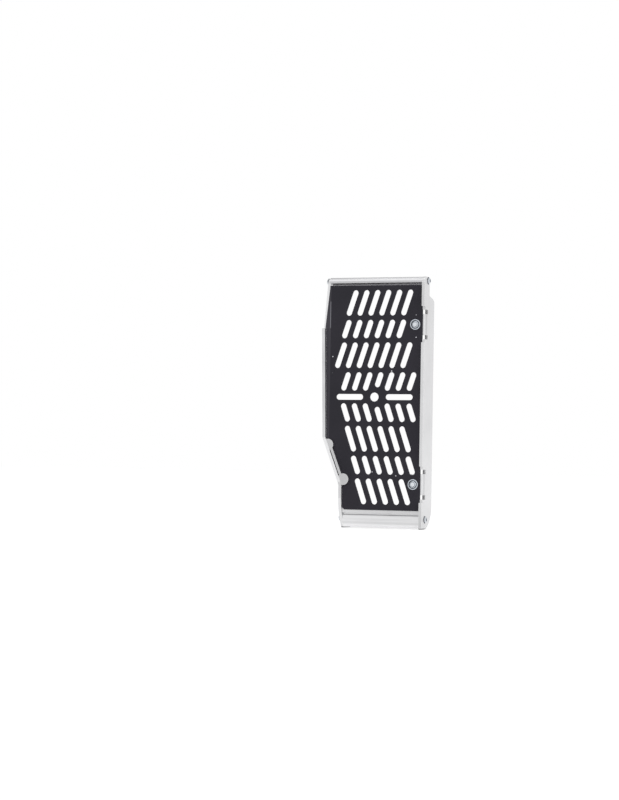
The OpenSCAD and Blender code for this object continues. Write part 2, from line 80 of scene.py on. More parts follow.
class Facing(Enum):
    """Direction in which the head of a fastener points."""

    FRONT = Vector((0.0, -1.0, 0.0))
    BACK = Vector((0.0, 1.0, 0.0))
    OUTER = Vector((1.0, 0.0, 0.0))
    INNER = Vector((-1.0, 0.0, 0.0))


class Slot(Enum):
    """Material slots of the record."""

    BLACK = "anodised_black"
    BARE = "bare_aluminium"
    STEEL = "steel_screws"


def srgb(red: float, green: float, blue: float) -> tuple[float, float, float, float]:
    """Turns display levels from 0 to 255 into a linear colour.

    Args:
        red: Red level.
        green: Green level.
        blue: Blue level.

    Returns:
        The colour as linear red, green, blue and alpha.
    """

    def linear(level: float) -> float:
        """Linear value of one display level."""
        share = level / 255
        return share / 12.92 if share <= 0.04045 else ((share + 0.055) / 1.055) ** 2.4

    return (linear(red), linear(green), linear(blue), 1.0)


class NodeSheet:
    """Small helper that places and links shader nodes in one tree."""

    def __init__(self, tree: bpy.types.NodeTree) -> None:
        """Keeps the tree that gets the nodes."""
        self.tree = tree

    def add(self, kind: str, **settings: object) -> bpy.types.Node:
        """Adds a node.

        Args:
            kind: Node type, such as ShaderNodeTexNoise.
            **settings: Properties to set on the node.

        Returns:
            The new node.
        """
        node = self.tree.nodes.new(kind)
        for name, value in settings.items():
            setattr(node, name, value)
        return node

    def link(self, source: bpy.types.NodeSocket, target: bpy.types.NodeSocket) -> None:
        """Links an output to an input."""
        self.tree.links.new(source, target)

    def stretched(self, vector: bpy.types.NodeSocket,
                  scale: tuple[float, float, float]) -> bpy.types.NodeSocket:
        """Scales coordinates by a factor for each axis.

        Args:
            vector: Coordinates to scale.
            scale: Factors along x, y and z.

        Returns:
            The scaled coordinates.
        """
        node = self.add("ShaderNodeMapping")
        node.inputs["Scale"].default_value = scale
        self.link(vector, node.inputs["Vector"])
        return node.outputs["Vector"]

    def ramp(self, value: bpy.types.NodeSocket, low: float, high: float,
             to_low: float = 0.0, to_high: float = 1.0) -> bpy.types.NodeSocket:
        """Maps a value from one range to another, clamped.

        Args:
            value: Value to map.
            low: Start of the range read.
            high: End of the range read.
            to_low: Result at the start.
            to_high: Result at the end.

        Returns:
            The mapped value.
        """
        node = self.add("ShaderNodeMapRange")
        for name, number in (("From Min", low), ("From Max", high), ("To Min", to_low), ("To Max", to_high)):
            node.inputs[name].default_value = number
        self.link(value, node.inputs["Value"])
        return node.outputs["Result"]

    def times(self, first: bpy.types.NodeSocket,
              second: bpy.types.NodeSocket | float) -> bpy.types.NodeSocket:
        """Multiplies two values.

        Args:
            first: Value to multiply.
            second: Value or plain number to multiply it by.

        Returns:
            The product.
        """
        node = self.add("ShaderNodeMath", operation="MULTIPLY")
        self.link(first, node.inputs[0])
        if isinstance(second, bpy.types.NodeSocket):
            self.link(second, node.inputs[1])
        else:
            node.inputs[1].default_value = second
        return node.outputs["Value"]

    def plus(self, first: bpy.types.NodeSocket, second: bpy.types.NodeSocket) -> bpy.types.NodeSocket:
        """Adds two values and clamps the sum.

        Args:
            first: One value.
            second: The other value.

        Returns:
            The sum, from 0 to 1.
        """
        node = self.add("ShaderNodeMath", operation="ADD", use_clamp=True)
        self.link(first, node.inputs[0])
        self.link(second, node.inputs[1])
        return node.outputs["Value"]

    def mix(self, mask: bpy.types.NodeSocket, first: bpy.types.NodeSocket,
            second: bpy.types.NodeSocket) -> bpy.types.NodeSocket:
        """Mixes two values by a mask.

        Args:
            mask: 0 gives the first value, 1 the second.
            first: Value without the mask.
            second: Value with it.

        Returns:
            The mixed value.
        """
        node = self.add("ShaderNodeMix", data_type="FLOAT")
        for socket, source in zip((node.inputs[0], node.inputs[2], node.inputs[3]), (mask, first, second)):
            self.link(source, socket)
        return node.outputs[0]

    def blend(self, mask: bpy.types.NodeSocket, first: object, second: object) -> bpy.types.NodeSocket:
        """Mixes two colours by a mask.

        Args:
            mask: 0 gives the first colour, 1 the second.
            first: Socket or colour.
            second: Socket or colour.

        Returns:
            The mixed colour.
        """
        node = self.add("ShaderNodeMix", data_type="RGBA")
        self.link(mask, node.inputs["Factor"])
        for name, colour in (("A", first), ("B", second)):
            socket = next(s for s in node.inputs if s.name == name and s.type == "RGBA")
            if isinstance(colour, bpy.types.NodeSocket):
                self.link(colour, socket)
            else:
                socket.default_value = colour
        return next(s for s in node.outputs if s.type == "RGBA")


class FinishGroups:
    """Node groups shared by the finishes, each built once."""

    # Cosines of the angle between bevelled and true normal where wear and painted sheen start and are full
    WORN_FROM, WORN_FULL = 0.995, 0.85
    # Noise levels between which wear, clouds and streaks go from none to full
    BREAKUP_SPAN = (0.3, 0.65)
    CLOUD_SPAN = (0.3, 0.7)
    STREAK_SPAN = (0.35, 0.65)
    # Radius of a speck in its cell, from its soft rim to its core, and the few cells that have one
    SPECK_RIM, SPECK_CORE = 0.12, 0.08
    SPECK_CELLS = (0.93, 0.95)
    GRAIN_DETAIL, GRAIN_ROUGHNESS = 3.0, 0.7
    CLOUD_DETAIL = 4.0
    STREAK_DETAIL = 2.0
    BEVEL_SAMPLES = 4

    def __init__(self) -> None:
        """Builds the groups."""
        self.edge_wear_and_sheen = self._edge_wear_and_sheen()
        self.grain = self._grain()
        self.handling = self._handling()
        self.streaks = self._streaks()

    @staticmethod
    def _new(name: str, inputs: dict[str, float], outputs: tuple[str, ...]) -> tuple:
        """Starts a group.

        Args:
            name: Name of the group.
            inputs: Number inputs and their defaults.
            outputs: Number outputs.

        Returns:
            The group, its node sheet, its input node and its output node.
        """
        group = bpy.data.node_groups.new(name, "ShaderNodeTree")
        group.interface.new_socket("Vector", in_out="INPUT", socket_type="NodeSocketVector")
        for label, value in inputs.items():
            socket = group.interface.new_socket(label, in_out="INPUT", socket_type="NodeSocketFloat")
            socket.default_value = value
        for label in outputs:
            group.interface.new_socket(label, in_out="OUTPUT", socket_type="NodeSocketFloat")
        sheet = NodeSheet(group)
        return group, sheet, sheet.add("NodeGroupInput"), sheet.add("NodeGroupOutput")

    def _edge_wear_and_sheen(self) -> bpy.types.NodeTree:
        """Mask of the rubbed edges with a painted sheen on them, broken up by noise.

        Returns:
            The group, with the width, the strength and the breakup of the wear as inputs.
        """
        group, sheet, given, result = self._new(
            "edge_wear_and_sheen", {"Radius": 0.5 * MM, "Strength": 1.0, "Breakup": 400.0}, ("Mask",))
        bevel = sheet.add("ShaderNodeBevel", samples=self.BEVEL_SAMPLES)
        sheet.link(given.outputs["Radius"], bevel.inputs["Radius"])
        geometry = sheet.add("ShaderNodeNewGeometry")
        facing = sheet.add("ShaderNodeVectorMath", operation="DOT_PRODUCT")
        sheet.link(bevel.outputs["Normal"], facing.inputs[0])
        sheet.link(geometry.outputs["Normal"], facing.inputs[1])
        edge = sheet.ramp(facing.outputs["Value"], self.WORN_FROM, self.WORN_FULL)
        noise = sheet.add("ShaderNodeTexNoise")
        sheet.link(given.outputs["Vector"], noise.inputs["Vector"])
        sheet.link(given.outputs["Breakup"], noise.inputs["Scale"])
        broken = sheet.times(edge, sheet.ramp(noise.outputs["Fac"], *self.BREAKUP_SPAN))
        sheet.link(sheet.times(broken, given.outputs["Strength"]), result.inputs["Mask"])
        return group

    def _grain(self) -> bpy.types.NodeTree:
        """Fine grain of a blasted or anodised surface.

        Returns:
            The group, which puts out the height of the grain.
        """
        group, sheet, given, result = self._new("surface_grain", {"Scale": 3000.0}, ("Height",))
        fine = sheet.add("ShaderNodeTexNoise")
        fine.inputs["Detail"].default_value = self.GRAIN_DETAIL
        fine.inputs["Roughness"].default_value = self.GRAIN_ROUGHNESS
        sheet.link(given.outputs["Vector"], fine.inputs["Vector"])
        sheet.link(given.outputs["Scale"], fine.inputs["Scale"])
        sheet.link(fine.outputs["Fac"], result.inputs["Height"])
        return group

    def _handling(self) -> bpy.types.NodeTree:
        """Cloudy marks from handling, and a few specks of dust.

        Returns:
            The group, with one mask for the clouds and one for the specks.
        """
        group, sheet, given, result = self._new(
            "handling_marks", {"Cloud Scale": 25.0, "Speck Scale": 160.0}, ("Clouds", "Specks"))
        cloud = sheet.add("ShaderNodeTexNoise")
        cloud.inputs["Detail"].default_value = self.CLOUD_DETAIL
        sheet.link(given.outputs["Vector"], cloud.inputs["Vector"])
        sheet.link(given.outputs["Cloud Scale"], cloud.inputs["Scale"])
        sheet.link(sheet.ramp(cloud.outputs["Fac"], *self.CLOUD_SPAN), result.inputs["Clouds"])
        cells = sheet.add("ShaderNodeTexVoronoi")
        sheet.link(given.outputs["Vector"], cells.inputs["Vector"])
        sheet.link(given.outputs["Speck Scale"], cells.inputs["Scale"])
        rare = sheet.add("ShaderNodeSeparateColor")
        sheet.link(cells.outputs["Color"], rare.inputs["Color"])
        dot = sheet.ramp(cells.outputs["Distance"], self.SPECK_RIM, self.SPECK_CORE)
        specks = sheet.times(dot, sheet.ramp(rare.outputs["Red"], *self.SPECK_CELLS))
        sheet.link(specks, result.inputs["Specks"])
        return group

    def _streaks(self) -> bpy.types.NodeTree:
        """Die lines of an extruded bar, from stretched coordinates.

        Returns:
            The group, with a mask of the lines.
        """
        group, sheet, given, result = self._new("draw_streaks", {"Scale": 500.0}, ("Streaks",))
        lines = sheet.add("ShaderNodeTexNoise")
        lines.inputs["Detail"].default_value = self.STREAK_DETAIL
        sheet.link(given.outputs["Vector"], lines.inputs["Vector"])
        sheet.link(given.outputs["Scale"], lines.inputs["Scale"])
        sheet.link(sheet.ramp(lines.outputs["Fac"], *self.STREAK_SPAN), result.inputs["Streaks"])
        return group


@dataclass(frozen=True)
class Finish:
    """A metal or anodised finish with grain, handling marks and rubbed edges that also carry a painted sheen.

    The roughness spread is the difference between clear and clouded places, and the edge breakup is the
    scale of the noise in the wear. The grain's stretch also draws out the streaks. The painted light span is
    the lowest and highest point of a stretch painted with its own colour, as a highlight or as shade.
    """

    name: str
    colour: tuple[float, float, float, float]
    clouded: tuple[float, float, float, float]
    edge: tuple[float, float, float, float]
    metallic: float = 1.0
    roughness: float = 0.4
    roughness_spread: float = 0.1
    specular: float = 0.5
    edge_radius: float = 0.5 * MM
    edge_strength: float = 1.0
    edge_breakup: float = 400.0
    grain_scale: float = 2500.0
    grain_height: float = 0.02 * MM
    grain_strength: float = 0.6
    grain_stretch: tuple[float, float, float] = (1.0, 1.0, 1.0)
    cloud_scale: float = 25.0
    specks: float = 0.0
    speck_colour: tuple[float, float, float, float] = (0.6, 0.6, 0.6, 1.0)
    streaks: float = 0.0
    streak_scale: float = 500.0
    streak_colour: tuple[float, float, float, float] = (0.6, 0.6, 0.6, 1.0)
    painted_light_span: tuple[float, float] | None = None
    painted_light_colour: tuple[float, float, float, float] = (0.2, 0.2, 0.2, 1.0)

    def build(self, groups: FinishGroups) -> bpy.types.Material:
        """Makes the material.

        Args:
            groups: The shared node groups.

        Returns:
            The new material.
        """
        material = bpy.data.materials.new(self.name)
        material.use_nodes = True
        sheet = NodeSheet(material.node_tree)
        shader = material.node_tree.nodes["Principled BSDF"]
        shader.inputs["Metallic"].default_value = self.metallic
        shader.inputs["Specular IOR Level"].default_value = self.specular
        place = sheet.add("ShaderNodeTexCoord").outputs["Object"]

        marks = sheet.add("ShaderNodeGroup", node_tree=groups.handling)
        sheet.link(place, marks.inputs["Vector"])
        marks.inputs["Cloud Scale"].default_value = self.cloud_scale
        colour = sheet.blend(marks.outputs["Clouds"], self.colour, self.clouded)
        if self.specks:
            colour = sheet.blend(sheet.times(marks.outputs["Specks"], self.specks), colour, self.speck_colour)
        drawn = sheet.stretched(place, self.grain_stretch)
        if self.streaks:
            lines = sheet.add("ShaderNodeGroup", node_tree=groups.streaks)
            sheet.link(drawn, lines.inputs["Vector"])
            lines.inputs["Scale"].default_value = self.streak_scale
            streaked = sheet.times(lines.outputs["Streaks"], self.streaks)
            colour = sheet.blend(streaked, colour, self.streak_colour)
        # Paints a stretch of height with its own colour, as a highlight or as shade
        if self.painted_light_span:
            colour = sheet.blend(self._painted_light_mask(sheet, place), colour, self.painted_light_colour)

        # Rubbed edges, painted lighter as wear and as sheen
        wear = sheet.add("ShaderNodeGroup", node_tree=groups.edge_wear_and_sheen)
        sheet.link(place, wear.inputs["Vector"])
        wear.inputs["Radius"].default_value = self.edge_radius
        wear.inputs["Strength"].default_value = self.edge_strength
        wear.inputs["Breakup"].default_value = self.edge_breakup
        sheet.link(sheet.blend(wear.outputs["Mask"], colour, self.edge), shader.inputs["Base Color"])

        grain = sheet.add("ShaderNodeGroup", node_tree=groups.grain)
        sheet.link(drawn, grain.inputs["Vector"])
        grain.inputs["Scale"].default_value = self.grain_scale
        rough = sheet.ramp(marks.outputs["Clouds"], 0.0, 1.0, self.roughness - self.roughness_spread / 2,
                           self.roughness + self.roughness_spread / 2)
        sheet.link(rough, shader.inputs["Roughness"])
        bump = sheet.add("ShaderNodeBump")
        bump.inputs["Distance"].default_value = self.grain_height
        bump.inputs["Strength"].default_value = self.grain_strength
        sheet.link(grain.outputs["Height"], bump.inputs["Height"])
        sheet.link(bump.outputs["Normal"], shader.inputs["Normal"])
        return material

    def _painted_light_mask(self, sheet: NodeSheet, place: bpy.types.NodeSocket) -> bpy.types.NodeSocket:
        """Mask of the stretch of height where a highlight or shade is painted.

        Args:
            sheet: Node sheet of the material.
            place: Object coordinates.

        Returns:
            1 inside the span and 0 outside, with soft ends.
        """
        low, high = self.painted_light_span
        axes = sheet.add("ShaderNodeSeparateXYZ")
        sheet.link(place, axes.inputs["Vector"])
        above = sheet.ramp(axes.outputs["Z"], low, low + PAINTED_LIGHT_FADE)
        below = sheet.ramp(axes.outputs["Z"], high, high - PAINTED_LIGHT_FADE)
        return sheet.times(above, below)


ANODISED = Finish(
    name="black_anodised_sheet", colour=srgb(52, 50, 57), clouded=srgb(47, 46, 52), edge=srgb(92, 90, 100),
    metallic=0.0, roughness=0.55, specular=0.12, edge_radius=0.6 * MM, edge_strength=0.7,
    grain_height=0.03 * MM, specks=1.0, speck_colour=srgb(240, 240, 245))
# Cut rims of the slots, lighter than the sheet, partly as a painted highlight
RIM_HIGHLIGHT = Finish(
    name="slot_rims_painted_highlight", colour=srgb(66, 64, 72), clouded=srgb(58, 56, 64), edge=srgb(96, 94, 104),
    metallic=0.0, roughness=0.45, specular=0.2, edge_radius=0.3 * MM, edge_strength=0.4)
# Folded strip of the grille, painted lighter than the sheet as the light it catches
LIT_FOLDED_STRIP = Finish(
    name="folded_strip_painted_light", colour=srgb(74, 72, 78), clouded=srgb(67, 65, 71), edge=srgb(100, 98, 108),
    metallic=0.0, roughness=0.5, specular=0.15, grain_height=0.03 * MM)
# Painted highlight along the grille's fold line, brightest over a stretch of its height
FOLD_HIGHLIGHT = Finish(
    name="fold_line_painted_highlight", colour=srgb(58, 56, 63), clouded=srgb(54, 52, 59), edge=srgb(70, 68, 76),
    metallic=0.0, roughness=0.4, specular=0.3, painted_light_span=(200 * MM, 228 * MM),
    painted_light_colour=srgb(128, 127, 134))
# The feet of the plate and of its edges are painted dark as contact shadow
PLATE = Finish(
    name="bare_aluminium_plate", colour=srgb(228, 228, 229), clouded=srgb(221, 221, 222),
    edge=srgb(238, 238, 239), roughness=0.42, edge_strength=0.6, grain_height=0.03 * MM,
    painted_light_span=PAINTED_FOOT_SHADE, painted_light_colour=srgb(70, 70, 72))
# Finish of the broken edges, also painted on plate and retainer sides as a highlight
EDGE_AND_HIGHLIGHT = Finish(
    name="broken_edge_and_painted_highlight", colour=srgb(226, 226, 227), clouded=srgb(212, 212, 213),
    edge=srgb(238, 238, 239), roughness=0.34, grain_scale=1800.0, grain_height=0.05 * MM,
    grain_stretch=(1.0, 0.15, 1.0), painted_light_span=PAINTED_FOOT_SHADE, painted_light_colour=srgb(70, 70, 72))
# Duller sheared metal, also painted on the bends of the side plates as shade
SHEARED_AND_SHADED = Finish(
    name="sheared_side_and_painted_shade", colour=srgb(212, 212, 213), clouded=srgb(198, 198, 199),
    edge=srgb(232, 232, 233), roughness=0.38, grain_scale=1600.0, grain_height=0.06 * MM,
    grain_stretch=(0.2, 1.0, 1.0))
# Inner plate's sheared sides and bends, painted as shade, with a painted highlight over a stretch of height
INNER_SIDE_SHADE_AND_HIGHLIGHT = replace(
    SHEARED_AND_SHADED, name="bent_aluminium_side", painted_light_span=(45 * MM, 91 * MM), painted_light_colour=srgb(224, 224, 225))
RETAINER = Finish(
    name="retainer_aluminium", colour=srgb(194, 194, 195), clouded=srgb(188, 188, 189),
    edge=srgb(226, 226, 227), roughness=0.45, grain_height=0.04 * MM)
EXTRUDED = Finish(
    name="extruded_aluminium_bar", colour=srgb(214, 214, 215), clouded=srgb(208, 208, 209),
    edge=srgb(240, 240, 241), roughness=0.33, grain_scale=2600.0, grain_height=0.03 * MM,
    grain_stretch=(0.02, 1.0, 1.0), streaks=0.8, streak_colour=srgb(226, 226, 227))
# The top bar's extrusion painted darker as shade, with a painted highlight along its nose
SHADED_EXTRUDED_WITH_HIGHLIGHT = replace(
    EXTRUDED, name="extruded_bar_painted_shade_and_highlight", colour=srgb(186, 186, 188), clouded=srgb(180, 180, 182),
    streaks=0.5, streak_scale=420.0, streak_colour=srgb(210, 210, 212),
    painted_light_span=(247.4 * MM, 250.6 * MM), painted_light_colour=srgb(238, 238, 240))
STEEL = Finish(
    name="polished_screw_steel", colour=srgb(186, 192, 199), clouded=srgb(172, 178, 186),
    edge=srgb(225, 228, 232), roughness=0.2, roughness_spread=0.06, grain_scale=4000.0,
    grain_height=0.005 * MM, edge_radius=0.2 * MM, edge_strength=0.5)
# Painted reflection of the white table on the bottom bar's lower corner
CORNER_REFLECTION = replace(
    EXTRUDED, name="bar_corner_painted_reflection", colour=srgb(238, 238, 239), clouded=srgb(234, 234, 235),
    streak_colour=srgb(236, 236, 237))
# Pale steel of the M4 heads, also painted on socket floors as a sheen
PALE_STEEL_AND_SHEEN = replace(
    STEEL, name="pale_steel_and_painted_sheen", colour=srgb(208, 212, 217), clouded=srgb(200, 204, 209))
# Painted shade for the top bar's lip and the groove under its nose
GROOVE_SHADE = Finish(
    name="groove_painted_shade", colour=srgb(104, 102, 108), clouded=srgb(88, 86, 92), edge=srgb(140, 138, 144),
    roughness=0.55)
# Painted shade on the walls of the screw sockets
SOCKET_SHADE = Finish(
    name="socket_painted_shade_steel", colour=srgb(160, 165, 172), clouded=srgb(146, 151, 158),
    edge=srgb(180, 184, 190), roughness=0.3, roughness_spread=0.06, grain_scale=4000.0,
    grain_height=0.005 * MM, edge_radius=0.1 * MM, edge_strength=0.3)
# Painted shade on the rims of screw heads and in the grooves of their collars
RECESS_SHADE = Finish(
    name="recess_painted_shade_steel", colour=srgb(76, 80, 88), clouded=srgb(64, 68, 76), edge=srgb(120, 124, 130),
    roughness=0.4, roughness_spread=0.06, grain_scale=4000.0, grain_height=0.005 * MM,
    edge_radius=0.1 * MM, edge_strength=0.3)
FINISHES = (ANODISED, RIM_HIGHLIGHT, LIT_FOLDED_STRIP, FOLD_HIGHLIGHT, PLATE, EDGE_AND_HIGHLIGHT, SHEARED_AND_SHADED, INNER_SIDE_SHADE_AND_HIGHLIGHT, RETAINER,
            EXTRUDED, SHADED_EXTRUDED_WITH_HIGHLIGHT, CORNER_REFLECTION, GROOVE_SHADE, STEEL, PALE_STEEL_AND_SHEEN, SOCKET_SHADE, RECESS_SHADE)


@dataclass
class Parts:
    """What every sub-assembly needs: the CAD nodes and the finished materials."""

    nodes: dict[str, bpy.types.Object]
    materials: dict[str, bpy.types.Material]

    def finish_piece(self, mesh_from: bmesh.types.BMesh, name: str,
                     finishes: list[Finish], node: str, smooth_below: float = 20.0) -> bpy.types.Object:
        """Turns a bmesh into a piece that stands for a CAD node.

        Args:
            mesh_from: The finished bmesh, which is freed.
            name: Name of the piece.
            finishes: Finishes of its material slots, in order.
            node: CAD node that the piece stands for.
            smooth_below: Edges flatter than this angle are shaded smooth.

        Returns:
            The new object.
        """
        mesh = bpy.data.meshes.new(name)
        mesh_from.to_mesh(mesh)
        mesh_from.free()
        for finish in finishes:
            mesh.materials.append(self.materials[finish.name])
        mesh.polygons.foreach_set("use_smooth", [True] * len(mesh.polygons))
        mesh.set_sharp_from_angle(angle=math.radians(smooth_below))
        piece = bpy.data.objects.new(name, mesh)
        bpy.context.scene.collection.objects.link(piece)
        even = piece.modifiers.new("even_shading", "WEIGHTED_NORMAL")
        even.mode, even.keep_sharp = "FACE_AREA", True
        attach(piece, BODY)
        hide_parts(node)
        LOG.info("%s stands for %s, %d faces", name, node, len(mesh.polygons))
        return piece


@dataclass
class SheetMetalPiece:
    """A piece cut, bent or extruded from aluminium, with its edges broken.

    Attributes:
        node: CAD node that it stands for.
        name: Name of the piece.
        slot: Material slot of the record.
        face: Finish of its faces.
        rim: Finish of its broken edges.
        extra: Finishes that mark() may give, from the third slot on.
        broken_edge: Width of the broken edges.
        segments: Faces across each broken edge.
        flat_angle: Angle in degrees under which neighbouring faces become one.
        sharp_angle: Angle in degrees over which an edge is broken.
    """

    node: str
    name: str
    # slot: Material slot of the record, not used.
    slot: Slot
    face: Finish
    rim: Finish
    extra: tuple[Finish, ...] = ()
    broken_edge: float = 0.22 * MM
    segments: int = 2
    flat_angle: float = 0.3
    sharp_angle: float = 30.0

    def mark(self, shape: bmesh.types.BMesh) -> None:
        """Gives faces one of the extra finishes, where the piece has any.

        Args:
            shape: The merged copy of the CAD node.
        """

    def mesh(self, parts: Parts) -> bmesh.types.BMesh:
        """Copies the CAD node, merges it and breaks its sharp edges.

        Args:
            parts: The CAD nodes and materials.

        Returns:
            The softened mesh. Its broken edges have the second finish.
        """
        shape = bmesh.new()
        shape.from_mesh(parts.nodes[self.node].data)
        bmesh.ops.remove_doubles(shape, verts=shape.verts, dist=CAD_MERGE)
        bmesh.ops.dissolve_limit(shape, angle_limit=math.radians(self.flat_angle), verts=shape.verts,
                                 edges=shape.edges, use_dissolve_boundaries=False)
        for face in shape.faces:
            face.material_index = 0
        self.mark(shape)
        sharp = [e for e in shape.edges
                 if e.is_manifold and e.calc_face_angle(0.0) > math.radians(self.sharp_angle)]
        bmesh.ops.bevel(shape, geom=sharp, offset=self.broken_edge, offset_type="OFFSET",
                        segments=self.segments, profile=0.5, affect="EDGES", material=1,
                        clamp_overlap=True)
        return shape

    def build(self, parts: Parts) -> bpy.types.Object:
        """Builds the dressed piece."""
        finishes = [self.face, self.rim, *self.extra]
        return parts.finish_piece(self.mesh(parts), self.name, finishes, self.node)


@dataclass
class SidePlate(SheetMetalPiece):
    """A side plate, whose sheared sides are duller than its rolled faces, with painted shade and highlight.

    Attributes:
        thickness: Thickness of the plate.
        slack: How far the width of a sheared side may differ from it.
        across: Least share of x in an edge that runs across the thickness.
        flat_side: Share of x in a normal over which a face belongs to the plate's flat.
        front: Share of y in a normal under which a sheared side gets a painted highlight.
        highlight_above: Height above which all sheared sides get a painted highlight.
        bend: Least share of both x and y in the normals of a bend.
        bend_area: Least area of a bend's faces, in square metres.
    """

    extra: tuple[Finish, ...] = (SHEARED_AND_SHADED,)
    thickness: float = 3 * MM
    slack: float = 0.6 * MM
    across: float = 0.85
    flat_side: float = 0.5
    front: float = 0.9995
    highlight_above: float = 1.0
    bend: float = 0.1
    bend_area: float = 3e-6

    def is_sheared(self, face: bmesh.types.BMFace) -> bool:
        """Tells whether a face is as wide as the plate is thick and runs across it.

        Args:
            face: Face of the plate.

        Returns:
            True for a sheared side.
        """
        if abs(face.normal.x) > self.flat_side:
            return False
        for edge in face.edges:
            run = edge.verts[1].co - edge.verts[0].co
            if abs(run.length - self.thickness) < self.slack and abs(run.x) > self.across * run.length:
                return True
        return False

    def mark(self, shape: bmesh.types.BMesh) -> None:
        """Finishes the sheared sides, with a painted highlight on slanted and high ones, and paints shade on
        the bends.

        Args:
            shape: The merged copy of the CAD node.
        """
        for face in shape.faces:
            # Bends are painted darker, as their shade
            if min(abs(face.normal.x), abs(face.normal.y)) > self.bend and face.calc_area() > self.bend_area:
                face.material_index = 2
            elif self.is_sheared(face):
                # Sheared sides that don't face the front, or lie high, get the brighter edge finish as a
                # painted highlight. The front-facing ones keep the duller finish, partly painted shade
                painted_highlight = abs(face.normal.y) < self.front or face.calc_center_median().z > self.highlight_above
                face.material_index = 1 if painted_highlight else 2


@dataclass
class FoldedGrille(SheetMetalPiece):
    """The slotted sheet, with a painted highlight along its fold line and its folded strip painted lighter.

    Attributes:
        fold_radius: Rounding of the fold line.
        fold_low: Least angle of the fold, in degrees.
        fold_high: Greatest angle of the fold, in degrees.
        shortest_fold: Length under which an edge is no fold line.
        strip_lean: Least share of x in the folded strip's normal.
        front: Least share of y in it.
    """

    extra: tuple[Finish, ...] = (LIT_FOLDED_STRIP, FOLD_HIGHLIGHT)
    broken_edge: float = 0.18 * MM
    fold_radius: float = 0.4 * MM
    fold_low: float = 10.0
    fold_high: float = 20.0
    shortest_fold: float = 20 * MM
    strip_lean: float = 0.2
    front: float = 0.9

    def mark(self, shape: bmesh.types.BMesh) -> None:
        """Paints the folded strip lighter, rounds the fold line and paints a highlight on it.

        Args:
            shape: The merged copy of the CAD node.
        """
        # The folded strip is painted lighter, as the light it catches
        for face in shape.faces:
            if face.normal.x < -self.strip_lean and face.normal.y < -self.front:
                face.material_index = 2
        low, high = math.radians(self.fold_low), math.radians(self.fold_high)
        fold = [e for e in shape.edges if e.is_manifold and e.calc_length() > self.shortest_fold
                and low < e.calc_face_angle(0.0) < high and e.link_faces[0].normal.y < 0]
        # The rounded fold line gets the painted highlight
        bmesh.ops.bevel(shape, geom=fold, offset=self.fold_radius, offset_type="OFFSET", segments=2,
                        profile=0.5, affect="EDGES", material=3, clamp_overlap=True)


@dataclass
class EaredStrip(SheetMetalPiece):
    """The flat strip with two ears, whose sides are brighter than its face.

    The flat strip with two ears, whose sides are painted brighter than its face, as a highlight.
    """

    side: float = 0.5

    def mark(self, shape: bmesh.types.BMesh) -> None:
        """Gives the sides the finish of the broken edges, as a painted highlight.

        Args:
            shape: The merged copy of the CAD node.
        """
        for face in shape.faces:
            # Sides get a painted highlight
            if abs(face.normal.y) < self.side:
                face.material_index = 1


@dataclass
class LippedBottomBar(SheetMetalPiece):
    """The bottom bar, with a duller lip and a painted reflection of the table on its lower corner.

    Attributes:
        lowest: Least downward share in the normals of the lower corner.
        bar_height: Height of the bar, above which its lip begins.
    """

    extra: tuple[Finish, ...] = (CORNER_REFLECTION, SHEARED_AND_SHADED)
    lowest: float = 0.03
    bar_height: float = 12.9 * MM

    def mark(self, shape: bmesh.types.BMesh) -> None:
        """Paints a reflection of the table on the lower front corner and gives the lip its duller finish.

        Args:
            shape: The merged copy of the CAD node.
        """
        bottom = min(v.co.z for v in shape.verts)
        for face in shape.faces:
            if face.normal.z < -self.lowest and face.normal.y < 0:
                # Painted reflection of the table on the lower corner
                face.material_index = 2
            elif face.calc_center_median().z > bottom + self.bar_height:
                face.material_index = 3


@dataclass
class LippedTopBar(SheetMetalPiece):
    """The top bar, whose lip and groove under its nose are painted with dark shade.

    Attributes:
        bar_height: Height of the bar, below which its lip begins.
        lip_reach: How far behind the nose faces still count as lip and groove.
    """

    extra: tuple[Finish, ...] = (GROOVE_SHADE,)
    bar_height: float = 6.65 * MM
    lip_reach: float = 4.5 * MM

    def mark(self, shape: bmesh.types.BMesh) -> None:
        """Paints the lip and its groove with dark shade.

        Args:
            shape: The merged copy of the CAD node.
        """
        top = max(v.co.z for v in shape.verts)
        front = min(v.co.y for v in shape.verts)
        for face in shape.faces:
            middle = face.calc_center_median()
            if middle.z < top - self.bar_height and middle.y < front + self.lip_reach:
                # Painted shade in the groove and on the lip
                face.material_index = 2


@dataclass
class FastenerSpot:
    """Where one fastener of a CAD node sits."""

    low: Vector
    high: Vector

    @property
    def middle(self) -> Vector:
        """Middle of the fastener's box."""
        return (self.low + self.high) / 2


def fastener_spots(node: bpy.types.Object) -> list[FastenerSpot]:
    """Finds the separate fasteners of a CAD node.

    Args:
        node: The CAD node.

    Returns:
        The box of each fastener, highest first.
    """
    shape = bmesh.new()
    shape.from_mesh(node.data)
    bmesh.ops.remove_doubles(shape, verts=shape.verts, dist=CAD_MERGE)
    waiting = set(shape.verts)
    spots = []
    while waiting:
        island, front = set(), [waiting.pop()]
        while front:
            vert = front.pop()
            island.add(vert)
            for edge in vert.link_edges:
                other = edge.other_vert(vert)
                if other in waiting:
                    waiting.remove(other)
                    front.append(other)
        spots.append(FastenerSpot(
            Vector(tuple(min(v.co[k] for v in island) for k in range(3))),
            Vector(tuple(max(v.co[k] for v in island) for k in range(3)))))
    shape.free()
    return sorted(spots, key=lambda spot: (-spot.middle.z, spot.middle.x))


